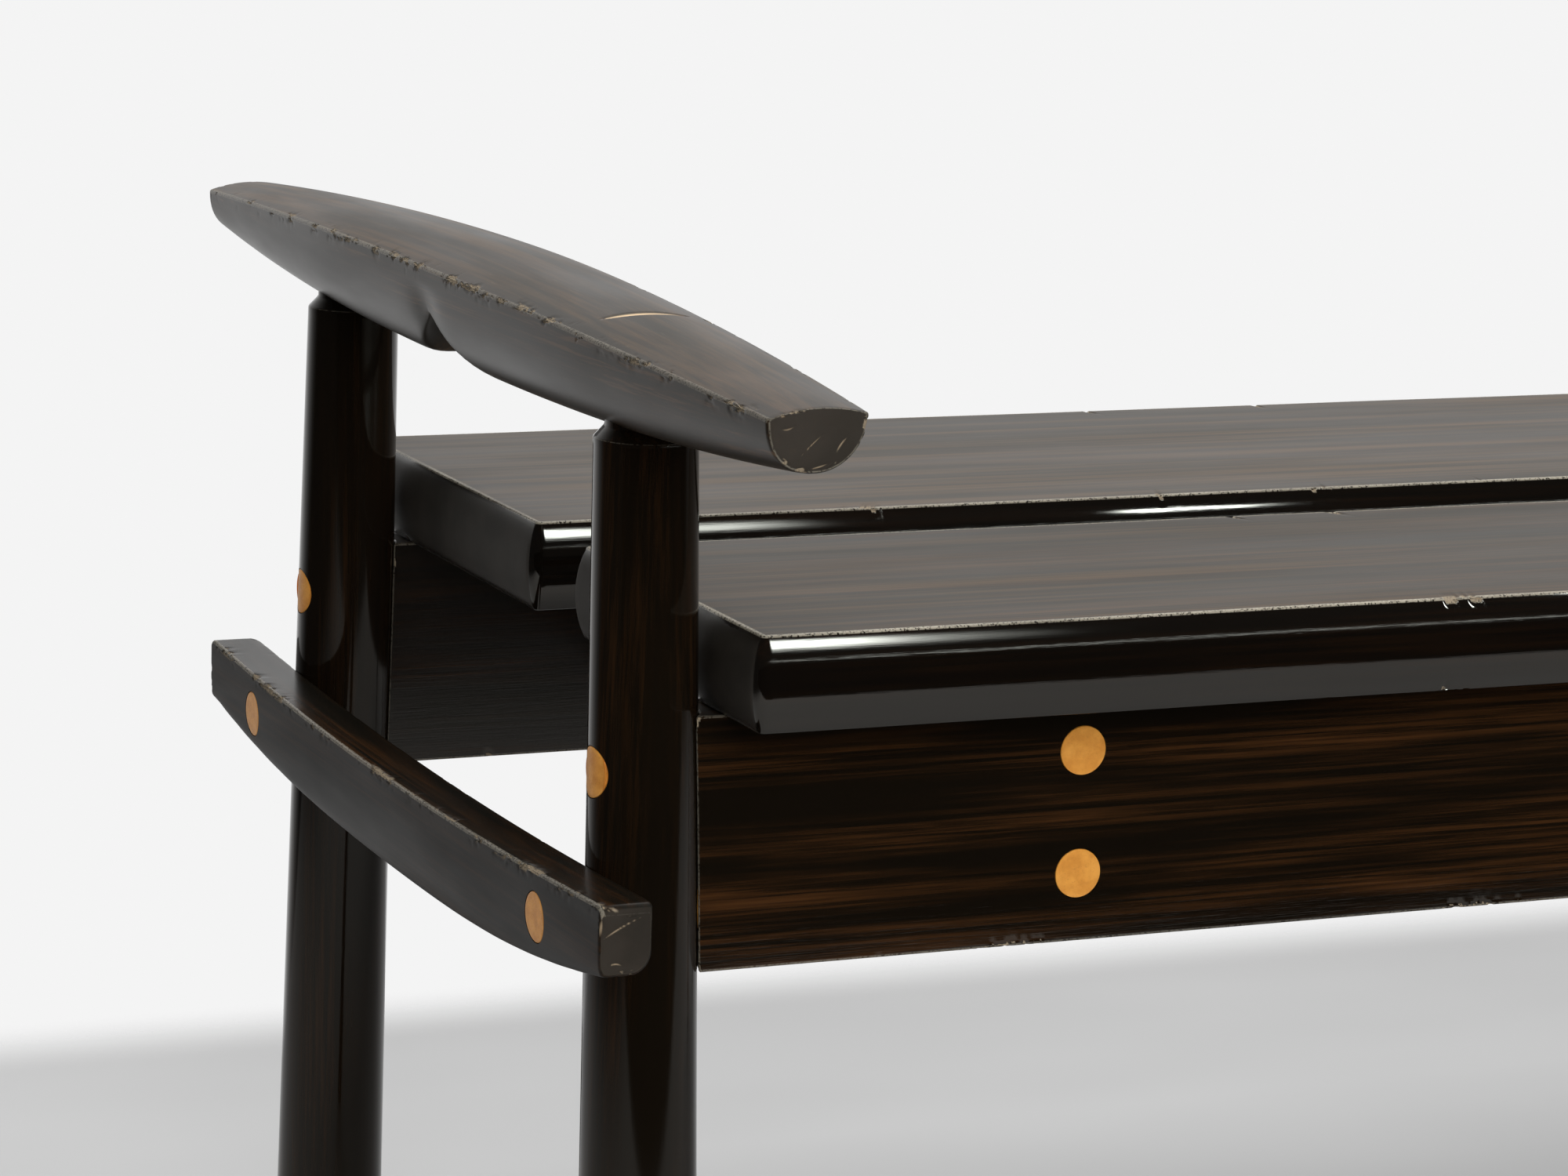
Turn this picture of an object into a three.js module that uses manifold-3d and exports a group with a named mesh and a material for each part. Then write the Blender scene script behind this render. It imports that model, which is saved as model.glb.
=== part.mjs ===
// Two-plank bench of dark lacquered hardwood. At each end a pair of round, splayed posts
// carries a carved head bar and a sickle-shaped stretcher, and every joint is a light dowel.
// Millimetres, +Z up, +X along the bench, -Y to the front, origin on the floor at the middle.
import * as THREE from 'three';
import { mergeVertices } from 'three/addons/utils/BufferGeometryUtils.js';
import Module from 'manifold-3d';

const wasm = await Module();
wasm.setup();

// Clearance between any two pieces that touch, and how far a cutter runs past what it cuts
const GAP = 0.3;
const OVERSHOOT = 6;

// Seat planks
const SEAT_HEIGHT = 430;
const PLANK_THICKNESS = 38;
const PLANK_BULGE = 4.4;
const PLANK_LEVELS = 8;
const SEAT_HALF_LENGTH = 523.2;
const SEAT_HALF_DEPTH = 234;
const FRONT_PLANK_BACK_EDGE = -47;
const BACK_PLANK_FRONT_EDGE = 8.5;

// Posts: round, thicker towards the foot and leaning outwards at the foot
const POST_X = 550;
const POST_Y_AT_SEAT = 180.1;
const POST_SPLAY = 0.041;
const POST_RADIUS_AT_SEAT = 21;
const POST_TAPER = 0.01;
const POST_SIDES = 32;
const SHOULDER_HEIGHT = SEAT_HEIGHT + 68.4;
const SHOULDER_CHAMFER = 4.6;
const NECK_RADIUS = 16;
const NECK_TOP = SEAT_HEIGHT + 95;

// Long rails and the bearers between them
const RAIL_THICKNESS = 27;
const RAIL_Y = 183.5;
const RAIL_TOP = SEAT_HEIGHT - PLANK_THICKNESS - GAP;
const RAIL_BOTTOM = SEAT_HEIGHT - 140.1;
const BEARER_THICKNESS = 34;
const BEARER_HEIGHT = 94;
const BEARER_X = 367.2;

// Dowels
const DOWEL_RADIUS = 10;
const DOWEL_SIDES = 24;
const POST_DOWEL_HIGH = SEAT_HEIGHT - 60.7;
const POST_DOWEL_LOW = SEAT_HEIGHT - 116.4;
const POST_DOWEL_DEPTH = 60;
const BEARER_DOWEL_HIGH = SEAT_HEIGHT - 62;
const BEARER_DOWEL_LOW = SEAT_HEIGHT - 112.3;
const BEARER_DOWEL_LENGTH = 70;
const SEAT_DOWEL_RADIUS = 5;
const SEAT_DOWEL_SIDES = 16;
const SEAT_DOWEL_BITE = 20;
const SEAT_DOWEL_OFFSETS = {
  front: [-108, -62],
  back: [46, 108],
};

// Head bar: lens-shaped in plan, crowned on top, bellied below, with a cleft near the middle.
// Its belly is fuller on the outer side. Its top leans outwards and rises slightly to the back.
const BAR_HALF_LENGTH = 338;
const BAR_END_HALF_WIDTH = 19.4;
const BAR_MIDDLE_HALF_WIDTH = 32.4;
const BAR_END_EDGE = SEAT_HEIGHT + 102.5;
const BAR_MIDDLE_EDGE = SEAT_HEIGHT + 112.6;
const BAR_LEAN = 0.03;
const BAR_RISE_TO_BACK = 0.0055;
const BAR_END_CROWN = 3;
const BAR_MIDDLE_CROWN = 7;
const BAR_END_DEPTH = 20.3;
const BAR_MIDDLE_DEPTH = 43.6;
const BAR_PLAN_POWER = 1.8;
const BAR_BELLY_POWER = 2.2;
const BAR_OUTER_SQUARENESS = 2.4;
const BAR_INNER_SQUARENESS = 2;
const BAR_STATIONS = 32;
const BAR_CROWN_STEPS = 6;
const BAR_BELLY_STEPS = 14;
const CLEFT_Y = -6.5;
const CLEFT_TOP = SEAT_HEIGHT + 93;
const CLEFT_HALF_WIDTH = 48;
const CLEFT_POWER = 1.27;
const CLEFT_STEPS = 8;

// End stretcher: shallow sickle, deepest in the middle, let a little into the posts
const STRETCHER_HALF_LENGTH = 250.8;
const STRETCHER_INNER_X = POST_X + 21.6;
const STRETCHER_END_OUTER_X = POST_X + 42.8;
const STRETCHER_MIDDLE_OUTER_X = POST_X + 44.2;
const STRETCHER_END_TOP = SEAT_HEIGHT - 94.9;
const STRETCHER_MIDDLE_TOP = SEAT_HEIGHT - 101.6;
const STRETCHER_END_BOTTOM = SEAT_HEIGHT - 122.6;
const STRETCHER_MIDDLE_BOTTOM = SEAT_HEIGHT - 147.4;
const STRETCHER_END_KEEL = 0.3;
const STRETCHER_MIDDLE_KEEL = 0.75;
const STRETCHER_END_SQUARENESS = 7;
const STRETCHER_MIDDLE_SQUARENESS = 2.6;
const STRETCHER_INNER_ROUND = 9;
const STRETCHER_STATIONS = 20;
const STRETCHER_OUTER_STEPS = 9;
const STRETCHER_INNER_STEPS = 4;

const darkWood = new THREE.MeshStandardMaterial({ color: 0x1c1512, roughness: 0.3, metalness: 0 });
const lightWood = new THREE.MeshStandardMaterial({ color: 0xc98a3e, roughness: 0.55, metalness: 0 });

// Solids that can be joined and cut, and the geometry of the finished ones

function solid(geometry) {
  const bare = geometry.index ? geometry.toNonIndexed() : geometry.clone();
  bare.deleteAttribute('normal');
  bare.deleteAttribute('uv');
  const merged = mergeVertices(bare, 1e-4);
  return new wasm.Manifold(new wasm.Mesh({
    numProp: 3,
    vertProperties: new Float32Array(merged.attributes.position.array),
    triVerts: new Uint32Array(merged.index.array),
  }));
}

function geometryOf(body) {
  const mesh = body.getMesh();
  const geometry = new THREE.BufferGeometry();
  geometry.setAttribute('position', new THREE.BufferAttribute(new Float32Array(mesh.vertProperties), 3));
  geometry.setIndex(new THREE.BufferAttribute(new Uint32Array(mesh.triVerts), 1));
  geometry.computeVertexNormals();
  return geometry;
}

function cut(body, tools) {
  return tools.reduce((rest, tool) => rest.subtract(tool), body);
}

// Block between two opposite corners
function box(low, high) {
  const size = new THREE.Vector3().subVectors(high, low);
  const middle = new THREE.Vector3().addVectors(low, high).multiplyScalar(0.5);
  const geometry = new THREE.BoxGeometry(size.x, size.y, size.z);
  geometry.translate(middle.x, middle.y, middle.z);
  return solid(geometry);
}

// Round bar between two points, parallel to any axis
function roundBar(from, to, radius, sides) {
  const along = new THREE.Vector3().subVectors(to, from);
  const middle = new THREE.Vector3().addVectors(from, to).multiplyScalar(0.5);
  const geometry = new THREE.CylinderGeometry(radius, radius, along.length(), sides);
  const turn = new THREE.Quaternion().setFromUnitVectors(new THREE.Vector3(0, 1, 0), along.normalize());
  geometry.applyQuaternion(turn);
  geometry.translate(middle.x, middle.y, middle.z);
  return solid(geometry);
}

// Skin through a row of closed convex outlines, each with the same number of points
function loft(outlines) {
  const count = outlines[0].length;
  const points = outlines.flat();
  const faces = [];
  for (let row = 0; row < outlines.length - 1; row += 1) {
    for (let column = 0; column < count; column += 1) {
      const next = (column + 1) % count;
      const a = row * count + column;
      const b = row * count + next;
      faces.push(a, b, b + count, a, b + count, a + count);
    }
  }
  const lastRow = (outlines.length - 1) * count;
  for (let column = 1; column < count - 1; column += 1) {
    faces.push(0, column + 1, column);
    faces.push(lastRow, lastRow + column, lastRow + column + 1);
  }
  const geometry = new THREE.BufferGeometry().setFromPoints(points);
  geometry.setIndex(faces);
  return solid(geometry);
}

function blend(end, middle, share) {
  return end + (middle - end) * share;
}

// Seat planks: flat faces with all four edges gently rounded

function plankOutline(xHalf, yLow, yHigh, z) {
  return [
    new THREE.Vector3(-xHalf, yLow, z),
    new THREE.Vector3(xHalf, yLow, z),
    new THREE.Vector3(xHalf, yHigh, z),
    new THREE.Vector3(-xHalf, yHigh, z),
  ];
}

function edgeBulge(height) {
  const half = PLANK_THICKNESS / 2;
  const radius = (half * half + PLANK_BULGE * PLANK_BULGE) / (2 * PLANK_BULGE);
  return Math.sqrt(radius * radius - (height - half) ** 2) - (radius - PLANK_BULGE);
}

function seatPlank(yLow, yHigh, dowelOffsets) {
  const outlines = [];
  for (let level = 0; level <= PLANK_LEVELS; level += 1) {
    const height = PLANK_THICKNESS * level / PLANK_LEVELS;
    const bulge = edgeBulge(height);
    const z = SEAT_HEIGHT - PLANK_THICKNESS + height;
    outlines.push(plankOutline(SEAT_HALF_LENGTH + bulge, yLow - bulge, yHigh + bulge, z));
  }
  return cut(loft(outlines), seatDowelHoles(dowelOffsets));
}

// Posts

function postY(z) {
  return POST_Y_AT_SEAT - POST_SPLAY * (z - SEAT_HEIGHT);
}

function postRadius(z) {
  return POST_RADIUS_AT_SEAT - POST_TAPER * (z - SEAT_HEIGHT);
}

// Turned shape of one post about its leaning axis, grown outwards by a clearance.
// The back posts stand a little taller than the front ones.
function postTurning(xSide, ySide, clearance) {
  const below = -OVERSHOOT * 2;
  const rise = ySide * postY(SHOULDER_HEIGHT) * BAR_RISE_TO_BACK;
  const shoulder = SHOULDER_HEIGHT + rise;
  const neckTop = NECK_TOP + rise + clearance;
  const profile = [
    new THREE.Vector2(0, below),
    new THREE.Vector2(postRadius(below) + clearance, below),
    new THREE.Vector2(postRadius(shoulder) + clearance, shoulder),
    new THREE.Vector2(NECK_RADIUS + clearance, shoulder + SHOULDER_CHAMFER),
    new THREE.Vector2(NECK_RADIUS + clearance, neckTop),
    new THREE.Vector2(0, neckTop),
  ];
  const geometry = new THREE.LatheGeometry(profile, POST_SIDES);
  geometry.rotateX(Math.PI / 2);
  const lean = new THREE.Matrix4().set(
    1, 0, 0, xSide * POST_X,
    0, 1, -ySide * POST_SPLAY, ySide * postY(0),
    0, 0, 1, 0,
    0, 0, 0, 1,
  );
  geometry.applyMatrix4(lean);
  return solid(geometry);
}

function floorCutter() {
  const reach = POST_X * 2;
  return box(new THREE.Vector3(-reach, -reach, -OVERSHOOT * 4), new THREE.Vector3(reach, reach, 0));
}

function post(xSide, ySide) {
  const tools = [
    floorCutter(),
    ...postDowelBars(xSide, ySide, GAP, OVERSHOOT),
    stretcherLoft(xSide, GAP),
  ];
  return cut(postTurning(xSide, ySide, 0), tools);
}

// Long rails, scribed to the round posts

function rail(ySide) {
  const halfThickness = RAIL_THICKNESS / 2;
  const blank = box(
    new THREE.Vector3(-POST_X, ySide * RAIL_Y - halfThickness, RAIL_BOTTOM),
    new THREE.Vector3(POST_X, ySide * RAIL_Y + halfThickness, RAIL_TOP),
  );
  const tools = [];
  for (const xSide of [-1, 1]) {
    tools.push(postTurning(xSide, ySide, GAP));
    tools.push(...postDowelBars(xSide, ySide, GAP, OVERSHOOT));
  }
  for (const x of bearerPlaces().values()) {
    tools.push(...bearerDowelBars(x, ySide, GAP, OVERSHOOT));
  }
  return cut(blank, tools);
}

// Bearers across the bench, between the rails and under both planks

function bearerPlaces() {
  return new Map([['left', -BEARER_X], ['middle', 0], ['right', BEARER_X]]);
}

function bearer(x) {
  const reach = RAIL_Y - RAIL_THICKNESS / 2 - GAP;
  const half = BEARER_THICKNESS / 2;
  const blank = box(
    new THREE.Vector3(x - half, -reach, RAIL_TOP - BEARER_HEIGHT),
    new THREE.Vector3(x + half, reach, RAIL_TOP),
  );
  const tools = [
    ...bearerDowelBars(x, -1, GAP, GAP),
    ...bearerDowelBars(x, 1, GAP, GAP),
    ...seatDowelHoles(Object.values(SEAT_DOWEL_OFFSETS).flat()),
  ];
  return cut(blank, tools);
}

// Dowels along X through the posts, the lower ones through the stretcher as well

function postDowelBars(xSide, ySide, clearance, extra) {
  const y = ySide * RAIL_Y;
  const inner = xSide * (POST_X - POST_DOWEL_DEPTH - clearance);
  const outer = xSide * (STRETCHER_MIDDLE_OUTER_X + extra);
  return [POST_DOWEL_HIGH, POST_DOWEL_LOW].map((z) => roundBar(
    new THREE.Vector3(inner, y, z),
    new THREE.Vector3(outer, y, z),
    DOWEL_RADIUS + clearance,
    DOWEL_SIDES,
  ));
}

// Everything on the bench side of a post's middle plane, to trim dowel ends with
function benchSide(xSide, ySide) {
  const reach = POST_DOWEL_DEPTH + OVERSHOOT;
  const inner = xSide * (POST_X - reach);
  const outer = xSide * POST_X;
  return box(
    new THREE.Vector3(Math.min(inner, outer), ySide * RAIL_Y - RAIL_THICKNESS, RAIL_BOTTOM - OVERSHOOT),
    new THREE.Vector3(Math.max(inner, outer), ySide * RAIL_Y + RAIL_THICKNESS, RAIL_TOP + OVERSHOOT),
  );
}

function postDowels(xSide, ySide) {
  const [high, low] = postDowelBars(xSide, ySide, 0, OVERSHOOT);
  const throughPost = postTurning(xSide, ySide, 0).add(benchSide(xSide, ySide));
  const throughStretcher = throughPost.add(stretcherLoft(xSide, GAP));
  return { high: high.intersect(throughPost), low: low.intersect(throughStretcher) };
}

// Dowels along Y through a rail into the end of a bearer

function bearerDowelBars(x, ySide, clearance, extra) {
  const face = RAIL_Y + RAIL_THICKNESS / 2;
  const outer = ySide * (face + extra);
  const inner = ySide * (face - BEARER_DOWEL_LENGTH - clearance);
  return [BEARER_DOWEL_HIGH, BEARER_DOWEL_LOW].map((z) => roundBar(
    new THREE.Vector3(x, inner, z),
    new THREE.Vector3(x, outer, z),
    DOWEL_RADIUS + clearance,
    DOWEL_SIDES,
  ));
}

// Blind upright dowels between a bearer and the underside of a plank

function seatDowelBar(x, y, clearance) {
  const joint = SEAT_HEIGHT - PLANK_THICKNESS;
  return roundBar(
    new THREE.Vector3(x, y, joint - SEAT_DOWEL_BITE - clearance),
    new THREE.Vector3(x, y, joint + SEAT_DOWEL_BITE + clearance),
    SEAT_DOWEL_RADIUS + clearance,
    SEAT_DOWEL_SIDES,
  );
}

function seatDowelHoles(offsets) {
  const places = [...bearerPlaces().values()];
  return places.flatMap((x) => offsets.map((y) => seatDowelBar(x, y, GAP)));
}

// Head bar

function barOutline(y, xSide) {
  const reach = Math.abs(y) / BAR_HALF_LENGTH;
  const fullness = 1 - reach ** BAR_PLAN_POWER;
  const width = blend(BAR_END_HALF_WIDTH, BAR_MIDDLE_HALF_WIDTH, fullness);
  const edge = blend(BAR_END_EDGE, BAR_MIDDLE_EDGE, fullness);
  const crown = blend(BAR_END_CROWN, BAR_MIDDLE_CROWN, 1 - reach ** 2);
  const depth = blend(BAR_END_DEPTH, BAR_MIDDLE_DEPTH, 1 - reach ** BAR_BELLY_POWER);
  const points = [];
  for (let step = 0; step < BAR_CROWN_STEPS; step += 1) {
    const across = -1 + 2 * step / BAR_CROWN_STEPS;
    points.push(new THREE.Vector3(width * across, y, edge + crown * (1 - across * across)));
  }
  for (let step = 0; step < BAR_BELLY_STEPS; step += 1) {
    const angle = Math.PI * step / BAR_BELLY_STEPS;
    const across = Math.cos(angle);
    const power = 2 / (across * xSide > 0 ? BAR_OUTER_SQUARENESS : BAR_INNER_SQUARENESS);
    const x = width * Math.sign(across) * Math.abs(across) ** power;
    points.push(new THREE.Vector3(x, y, edge - depth * Math.sin(angle) ** power));
  }
  return points;
}

// Solid that cuts the cleft across the belly: two flanks that fall away in a curve
function cleftCutter() {
  const bottom = BAR_MIDDLE_EDGE - BAR_MIDDLE_DEPTH;
  const outline = new THREE.Shape();
  outline.moveTo(CLEFT_Y - CLEFT_HALF_WIDTH, bottom - OVERSHOOT);
  for (let step = -CLEFT_STEPS; step <= CLEFT_STEPS; step += 1) {
    const across = step / CLEFT_STEPS;
    const rise = (1 - Math.abs(across)) ** CLEFT_POWER;
    outline.lineTo(CLEFT_Y + CLEFT_HALF_WIDTH * across, bottom + (CLEFT_TOP - bottom) * rise);
  }
  outline.lineTo(CLEFT_Y + CLEFT_HALF_WIDTH, bottom - OVERSHOOT);
  outline.closePath();
  const width = BAR_MIDDLE_HALF_WIDTH * 2 + OVERSHOOT * 2;
  const geometry = new THREE.ExtrudeGeometry(outline, { depth: width, bevelEnabled: false });
  geometry.translate(0, 0, -width / 2);
  const turn = new THREE.Matrix4().makeBasis(
    new THREE.Vector3(0, 1, 0),
    new THREE.Vector3(0, 0, 1),
    new THREE.Vector3(1, 0, 0),
  );
  geometry.applyMatrix4(turn);
  return solid(geometry);
}

function headBar(xSide) {
  const outlines = [];
  for (let station = 0; station <= BAR_STATIONS; station += 1) {
    const angle = Math.PI * station / BAR_STATIONS;
    outlines.push(barOutline(-BAR_HALF_LENGTH * Math.cos(angle), xSide));
  }
  const level = geometryOf(loft(outlines).subtract(cleftCutter()));
  const lean = new THREE.Matrix4().set(
    1, 0, 0, xSide * POST_X,
    0, 1, 0, 0,
    -xSide * BAR_LEAN, BAR_RISE_TO_BACK, 1, 0,
    0, 0, 0, 1,
  );
  level.applyMatrix4(lean);
  return cut(solid(level), [postTurning(xSide, -1, GAP), postTurning(xSide, 1, GAP)]);
}

// End stretcher

function stretcherOutline(y, clearance) {
  const share = 1 - (y / STRETCHER_HALF_LENGTH) ** 2;
  const inner = STRETCHER_INNER_X - clearance;
  const outer = blend(STRETCHER_END_OUTER_X, STRETCHER_MIDDLE_OUTER_X, share);
  const top = blend(STRETCHER_END_TOP, STRETCHER_MIDDLE_TOP, share) + clearance;
  const bottom = blend(STRETCHER_END_BOTTOM, STRETCHER_MIDDLE_BOTTOM, share) - clearance;
  const keel = blend(STRETCHER_END_KEEL, STRETCHER_MIDDLE_KEEL, share);
  const power = 2 / blend(STRETCHER_END_SQUARENESS, STRETCHER_MIDDLE_SQUARENESS, share);
  const keelX = outer + (inner - outer) * keel;
  const points = [new THREE.Vector3(inner, y, top), new THREE.Vector3(outer, y, top)];
  for (let step = 1; step <= STRETCHER_OUTER_STEPS; step += 1) {
    const angle = Math.PI / 2 * step / STRETCHER_OUTER_STEPS;
    const x = keelX + (outer - keelX) * Math.abs(Math.cos(angle)) ** power;
    points.push(new THREE.Vector3(x, y, top - (top - bottom) * Math.sin(angle) ** power));
  }
  const round = Math.min(STRETCHER_INNER_ROUND, Math.abs(keelX - inner));
  for (let step = 1; step <= STRETCHER_INNER_STEPS; step += 1) {
    const angle = Math.PI / 2 * step / STRETCHER_INNER_STEPS;
    const x = inner + round * (1 - Math.sin(angle));
    points.push(new THREE.Vector3(x, y, bottom + STRETCHER_INNER_ROUND * (1 - Math.cos(angle))));
  }
  return points;
}

function stretcherLoft(xSide, clearance) {
  const outlines = [];
  for (let station = 0; station <= STRETCHER_STATIONS; station += 1) {
    const y = STRETCHER_HALF_LENGTH * (2 * station / STRETCHER_STATIONS - 1);
    outlines.push(stretcherOutline(y, clearance));
  }
  const right = loft(outlines);
  return xSide > 0 ? right : right.rotate([0, 0, 180]);
}

function stretcher(xSide) {
  const tools = [-1, 1].map((ySide) => postDowelBars(xSide, ySide, GAP, OVERSHOOT)[1]);
  return cut(stretcherLoft(xSide, 0), tools);
}

// The assembled bench

const bench = new THREE.Group();

function addPiece(name, body, material) {
  const mesh = new THREE.Mesh(geometryOf(body), material);
  mesh.name = name;
  bench.add(mesh);
}

addPiece(
  'seat_plank_front',
  seatPlank(-SEAT_HALF_DEPTH, FRONT_PLANK_BACK_EDGE, SEAT_DOWEL_OFFSETS.front),
  darkWood,
);
addPiece(
  'seat_plank_back',
  seatPlank(BACK_PLANK_FRONT_EDGE, SEAT_HALF_DEPTH, SEAT_DOWEL_OFFSETS.back),
  darkWood,
);

const ends = { left: -1, right: 1 };
const sides = { front: -1, back: 1 };

for (const [end, xSide] of Object.entries(ends)) {
  addPiece(`head_bar_${end}`, headBar(xSide), darkWood);
  addPiece(`end_stretcher_${end}`, stretcher(xSide), darkWood);
  for (const [side, ySide] of Object.entries(sides)) {
    const dowels = postDowels(xSide, ySide);
    addPiece(`post_${end}_${side}`, post(xSide, ySide), darkWood);
    addPiece(`post_dowel_${end}_${side}_upper`, dowels.high, lightWood);
    addPiece(`post_dowel_${end}_${side}_lower`, dowels.low, lightWood);
  }
}

for (const [side, ySide] of Object.entries(sides)) {
  addPiece(`long_rail_${side}`, rail(ySide), darkWood);
}

for (const [place, x] of bearerPlaces()) {
  addPiece(`bearer_${place}`, bearer(x), darkWood);
  for (const [side, ySide] of Object.entries(sides)) {
    const [high, low] = bearerDowelBars(x, ySide, 0, 0);
    addPiece(`bearer_dowel_${place}_${side}_upper`, high, lightWood);
    addPiece(`bearer_dowel_${place}_${side}_lower`, low, lightWood);
    SEAT_DOWEL_OFFSETS[side].forEach((y, index) => {
      addPiece(`seat_dowel_${place}_${side}_${index + 1}`, seatDowelBar(x, y, 0), lightWood);
    });
  }
}

export default bench;
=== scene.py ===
"""Looks of a two-plank bench of dark lacquered hardwood with carved end bars and pale dowels.

The bench's sizes are in millimetres and are turned into metres when a mesh is made. The floor,
cards, lamps and camera are in metres. +X runs along the bench, -Y is the front, +Z is up, and
the origin is on the floor under the middle of the bench.
"""

import math

import bpy
import numpy as np
from mathutils import Matrix, Vector, noise
from mathutils.bvhtree import BVHTree


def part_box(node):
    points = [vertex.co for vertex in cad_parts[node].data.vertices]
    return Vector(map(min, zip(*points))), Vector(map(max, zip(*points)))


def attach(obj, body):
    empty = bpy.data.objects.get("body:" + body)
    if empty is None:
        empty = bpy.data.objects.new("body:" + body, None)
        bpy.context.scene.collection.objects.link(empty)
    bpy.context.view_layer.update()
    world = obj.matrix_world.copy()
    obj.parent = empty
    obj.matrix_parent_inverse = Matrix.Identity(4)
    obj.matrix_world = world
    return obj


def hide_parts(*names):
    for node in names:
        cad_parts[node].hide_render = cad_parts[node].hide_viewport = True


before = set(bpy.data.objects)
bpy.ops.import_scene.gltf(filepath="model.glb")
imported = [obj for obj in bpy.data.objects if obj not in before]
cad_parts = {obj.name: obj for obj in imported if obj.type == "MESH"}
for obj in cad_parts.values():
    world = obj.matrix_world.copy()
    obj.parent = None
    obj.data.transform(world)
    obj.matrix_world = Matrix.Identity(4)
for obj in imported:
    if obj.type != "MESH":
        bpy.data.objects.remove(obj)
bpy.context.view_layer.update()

MM = 0.001
ENDS = {"left": -1, "right": 1}
SIDES = {"front": -1, "back": 1}
PLACES = ("left", "middle", "right")

# Shapes that the CAD boxes don't give. End insets tell, for a distance from the end, how much
# smaller the section is there.
PLANK_BULGE = 4.4
PLANK_ARRIS = 0.6
PLANK_CORNER = 2.2
PLANK_RIM = 30.0
POST_SPLAY = 0.041
POST_TAPER = 0.01
SHOULDER_DROP = 26.6
SHOULDER_CHAMFER = 4.6
NECK_RADIUS = 16.0
RAIL_ARRIS = 0.9
RAIL_END_INSET = 0.6
RAIL_END_SETBACK = 0.7
BEARER_ARRIS = 1.0
BAR_END_HALF_WIDTH = 19.4
BAR_MIDDLE_HALF_WIDTH = 32.4
BAR_END_EDGE = 102.5
BAR_MIDDLE_EDGE = 112.6
BAR_LEAN = 0.03
BAR_RISE_TO_BACK = 0.0055
BAR_END_CROWN = 3.0
BAR_MIDDLE_CROWN = 6.9
BAR_END_DEPTH = 20.3
BAR_MIDDLE_DEPTH = 43.6
BAR_PLAN_POWER = 1.8
BAR_BELLY_POWER = 2.2
BAR_OUTER_SQUARENESS = 2.4
BAR_INNER_SQUARENESS = 2.0
BAR_ARRIS = 1.1
BAR_END_MARGIN = 0.8
BAR_END_INSETS = {0.0: 0.8, 0.25: 0.3}
CLEFT_Y = -6.5
CLEFT_TOP = 93.0
CLEFT_HALF_WIDTH = 48.0
CLEFT_POWER = 1.27
CLEFT_SOFTNESS = 1.2
CLEFT_START = 3.0
CLEFT_CLEARANCE = 4.0
VALLEY_DEPTH = 1.8
VALLEY_START = 7.0
VALLEY_FADE = 14.0
VALLEY_HALF_WIDTH = 13.0
STRETCHER_INNER = 21.6
STRETCHER_END_OUTER = 42.8
STRETCHER_MIDDLE_OUTER = 44.2
STRETCHER_END_TOP = -94.9
STRETCHER_MIDDLE_TOP = -101.6
STRETCHER_END_BOTTOM = -122.6
STRETCHER_MIDDLE_BOTTOM = -147.4
STRETCHER_END_KEEL = 0.3
STRETCHER_MIDDLE_KEEL = 0.75
STRETCHER_END_SQUARENESS = 7.0
STRETCHER_MIDDLE_SQUARENESS = 2.6
STRETCHER_INNER_ROUND = 9.0
STRETCHER_ARRIS = 1.2
STRETCHER_END_MARGIN = 1.0
STRETCHER_END_INSETS = {0.0: 1.0, 0.3: 0.35}
STRETCHER_END_HALF_WIDTH = 12.0
STRETCHER_BACK_CORNER = 5.0
STRETCHER_PLAN_CORNER = 12.0
STRETCHER_PLAN_SHARE = 0.8
STRETCHER_FRONT_CORNER = 3.0
DOWEL_RADIUS = 10.0
DOWEL_GAP = 0.3

# How far a hole's cutter stands out of the wood, and from how far out its surface is looked for
CUTTER_OVERSHOOT = 8.0
SEARCH_START = 50.0

# How far wear reaches from an arris
ARRIS_WEAR = 1.2
OUTLINE_WEAR = 1.6

# How much longer than wide the chips are
CHIP_STRETCH = 2.2

# How finely the meshes are divided
LONG_EDGE_POINTS = 1000
SHORT_EDGE_POINTS = 40
CURVE_POINTS = 60
POST_SIDES = 96
POST_STATIONS = 84
RAIL_STATIONS = 1000
BEARER_STATIONS = 60
BAR_STATIONS = 520
CLEFT_STATIONS = 120
SCRATCH_STATIONS = 44
SCRATCH_REACH = (9.0, 5.0)
STRETCHER_STATIONS = 420
MARKED_END_RINGS = 40
RAIL_SIDE_POINTS = (7, 24)
BEARER_SIDE_POINTS = (8, 20)
BAR_OUTLINE_POINTS = (44, 60)
STRETCHER_OUTLINE_POINTS = (10, 52, 10)
RAIL_END_SCALES = (0.1, 0.4, 0.7, 0.9)
DOWEL_SIDES = 56
SHANK_RINGS = 6

# Share of the way in at which a cap's first ring lies, and the widest angle shaded smooth
CAP_RIM = 0.08
SHARP_ANGLE = math.radians(38)


def box_mm(node):
    low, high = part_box(node)
    return np.array(low) / MM, np.array(high) / MM


# Places that come from the CAD boxes
SEAT_TOP = box_mm("seat_plank_front")[1][2]
PLANK_UNDERSIDE = box_mm("seat_plank_front")[0][2]
_post_low, _post_high = box_mm("post_right_back")
POST_X = (_post_low[0] + _post_high[0]) / 2
FOOT_RADIUS = (_post_high[0] - _post_low[0]) / 2
FOOT_Y = _post_high[1] - FOOT_RADIUS


def post_y(z):
    return FOOT_Y - POST_SPLAY * z


def post_radius(z):
    return FOOT_RADIUS - POST_TAPER * z


def blend(end, middle, share):
    return end + (middle - end) * share


def smoothstep(low, high, value):
    share = np.clip((value - low) / (high - low), 0, 1)
    return share * share * (3 - 2 * share)


# Mesh tools


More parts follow.
